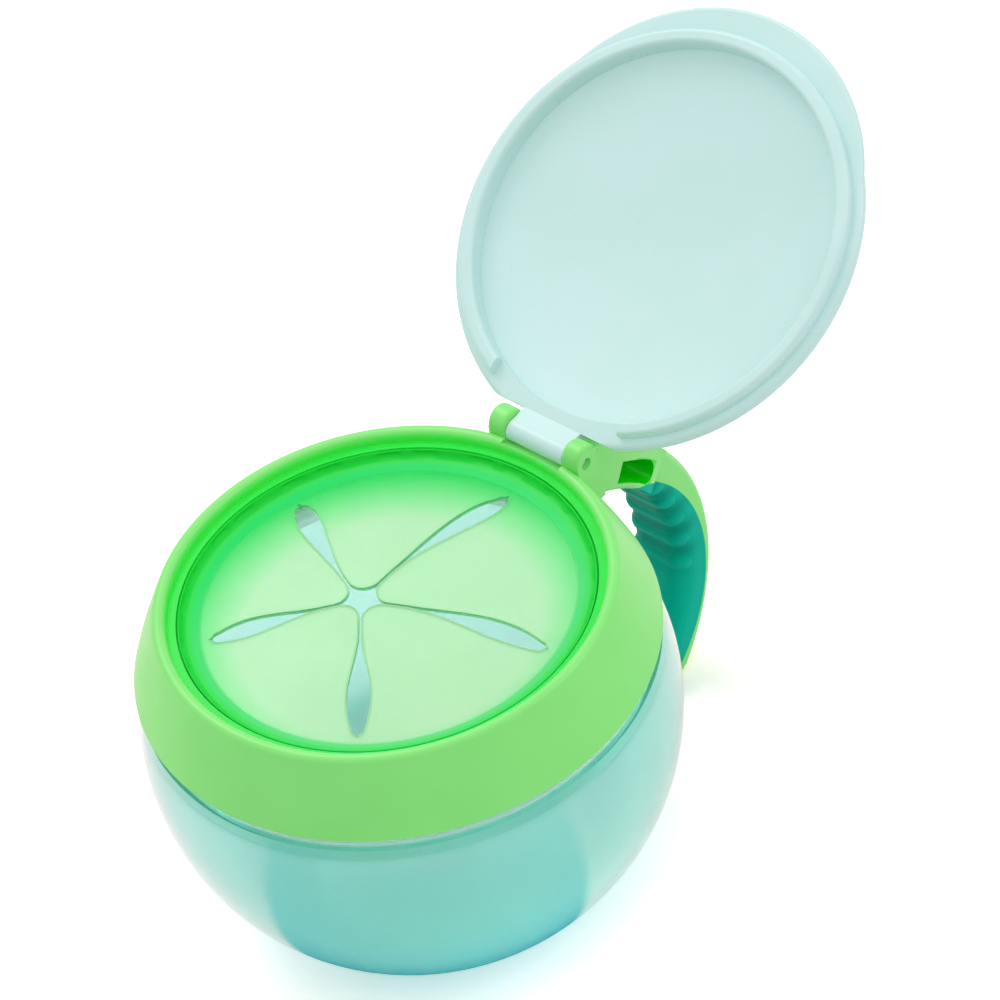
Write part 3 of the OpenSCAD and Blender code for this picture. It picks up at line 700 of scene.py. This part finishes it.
def make_floor():
    """A plain pale floor that keeps the shadow. Glossy rays alone see a painted dark patch of it, a painted
    reflection of shade in the bowl's front.
    """
    mesh = bpy.data.meshes.new("floor")
    corners = [(-FLOOR_HALF, -FLOOR_HALF, 0), (FLOOR_HALF, -FLOOR_HALF, 0),
               (FLOOR_HALF, FLOOR_HALF, 0), (-FLOOR_HALF, FLOOR_HALF, 0)]
    mesh.from_pydata(corners, [], [(0, 1, 2, 3)])
    floor = bpy.data.objects.new("floor", mesh)
    bpy.context.scene.collection.objects.link(floor)
    material, tree, shader = new_material("floor")
    path = tree.nodes.new("ShaderNodeLightPath")
    place = coordinates(tree)
    away = radius(tree, place)
    x, y = split(tree, place)[:2]
    x, y = maths(tree, "MULTIPLY", x, PATCH_SIDE[0]), maths(tree, "MULTIPLY", y, PATCH_SIDE[1])
    ahead = maths(tree, "DIVIDE", maths(tree, "ADD", x, y), away)
    # Painted shade seen only in reflections: a dark aqua patch near the bowl on one side.
    mirrored_shade = maths(tree, "MULTIPLY", ramp(tree, away, PATCH_NEAR, PATCH_FAR, 1, 0, smooth=True),
                  ramp(tree, ahead, PATCH_EDGE, PATCH_FULL, 0, 1, smooth=True))
    mirrored = mix_colour(tree, mirrored_shade, FLOOR_MIRRORED, SHADE_PATCH_MIRRORED)
    colour = mix_colour(tree, path.outputs["Is Glossy Ray"], FLOOR_PLAIN, mirrored)
    colour = mix_colour(tree, path.outputs["Is Transmission Ray"], colour, FLOOR_THROUGH)
    colour = mix_colour(tree, path.outputs["Is Camera Ray"], colour, FLOOR_SEEN)
    tree.nodes.remove(shader)
    diffuse = tree.nodes.new("ShaderNodeBsdfDiffuse")
    tree.links.new(colour, diffuse.inputs["Color"])
    tree.links.new(diffuse.outputs["BSDF"], tree.nodes["Material Output"].inputs["Surface"])
    mesh.materials.append(material)


WORLD_LIGHT = 0.78          # strength of the world's light on the object


def make_world():
    """Even white light, which the camera and clear plastic see as plain white."""
    world = bpy.data.worlds.new("studio")
    bpy.context.scene.world = world
    world.use_nodes = True
    tree = world.node_tree
    tree.nodes.clear()
    output = tree.nodes.new("ShaderNodeOutputWorld")
    seen = tree.nodes.new("ShaderNodeBackground")
    fill = tree.nodes.new("ShaderNodeBackground")
    seen.inputs["Color"].default_value = (1, 1, 1, 1)
    fill.inputs["Color"].default_value = (1, 1, 1, 1)
    fill.inputs["Strength"].default_value = WORLD_LIGHT
    path = tree.nodes.new("ShaderNodeLightPath")
    either = maths(tree, "MAXIMUM", path.outputs["Is Camera Ray"], path.outputs["Is Transmission Ray"])
    mix = tree.nodes.new("ShaderNodeMixShader")
    tree.links.new(either, mix.inputs["Fac"])
    tree.links.new(fill.outputs[0], mix.inputs[1])
    tree.links.new(seen.outputs[0], mix.inputs[2])
    tree.links.new(mix.outputs[0], output.inputs["Surface"])


LAMPS = {                   # each lamp's place in metres and its power in watts
    "key": ((-0.95, 0.25, 1.35), 9),
    "fill": ((0.9, 0.8, 1.2), 5),
}
LAMP_SIZE = 0.9             # diameter of each lamp's disc, and the point that it faces
LAMP_TARGET = (0, 0, 0.05)


def soft_light(name, at, power):
    """A large round lamp."""
    data = bpy.data.lights.new(name, "AREA")
    data.shape = "DISK"
    data.size = LAMP_SIZE
    data.energy = power
    lamp = bpy.data.objects.new(name, data)
    lamp.location = at
    lamp.rotation_mode = "QUATERNION"
    lamp.rotation_quaternion = (Vector(LAMP_TARGET) - Vector(at)).to_track_quat("-Z", "Y")
    bpy.context.scene.collection.objects.link(lamp)


CAMERA_AT = Vector((521.96, -423.82, 709.67)) * MM
CAMERA_TURN = math.radians(49.12)       # about the vertical, from looking along +Y
CAMERA_TILT = math.radians(43.15)       # down from level
CAMERA_ROLL = math.radians(-11.76)      # about the line of sight
SENSOR = 36.0               # the width of its picture and its focal length, in millimetres
FOCAL = 207.07


def make_camera():
    """The camera, from its place, the three turns above and its focal length."""
    forward = Vector((-math.sin(CAMERA_TURN) * math.cos(CAMERA_TILT),
                      math.cos(CAMERA_TURN) * math.cos(CAMERA_TILT), -math.sin(CAMERA_TILT)))
    level = Vector((math.cos(CAMERA_TURN), math.sin(CAMERA_TURN), 0))
    below = forward.cross(level)
    right = math.cos(CAMERA_ROLL) * level - math.sin(CAMERA_ROLL) * below
    down = math.sin(CAMERA_ROLL) * level + math.cos(CAMERA_ROLL) * below
    data = bpy.data.cameras.new("camera")
    data.sensor_width = SENSOR
    data.lens = FOCAL
    camera = bpy.data.objects.new("camera", data)
    camera.matrix_world = Matrix.LocRotScale(CAMERA_AT, Matrix((right, -down, -forward)).transposed(), None)
    bpy.context.scene.collection.objects.link(camera)
    bpy.context.scene.camera = camera


make_floor()
make_world()
for name, (at, power) in LAMPS.items():
    soft_light(name, at, power)
make_camera()
bpy.context.scene.view_settings.view_transform = "Standard"
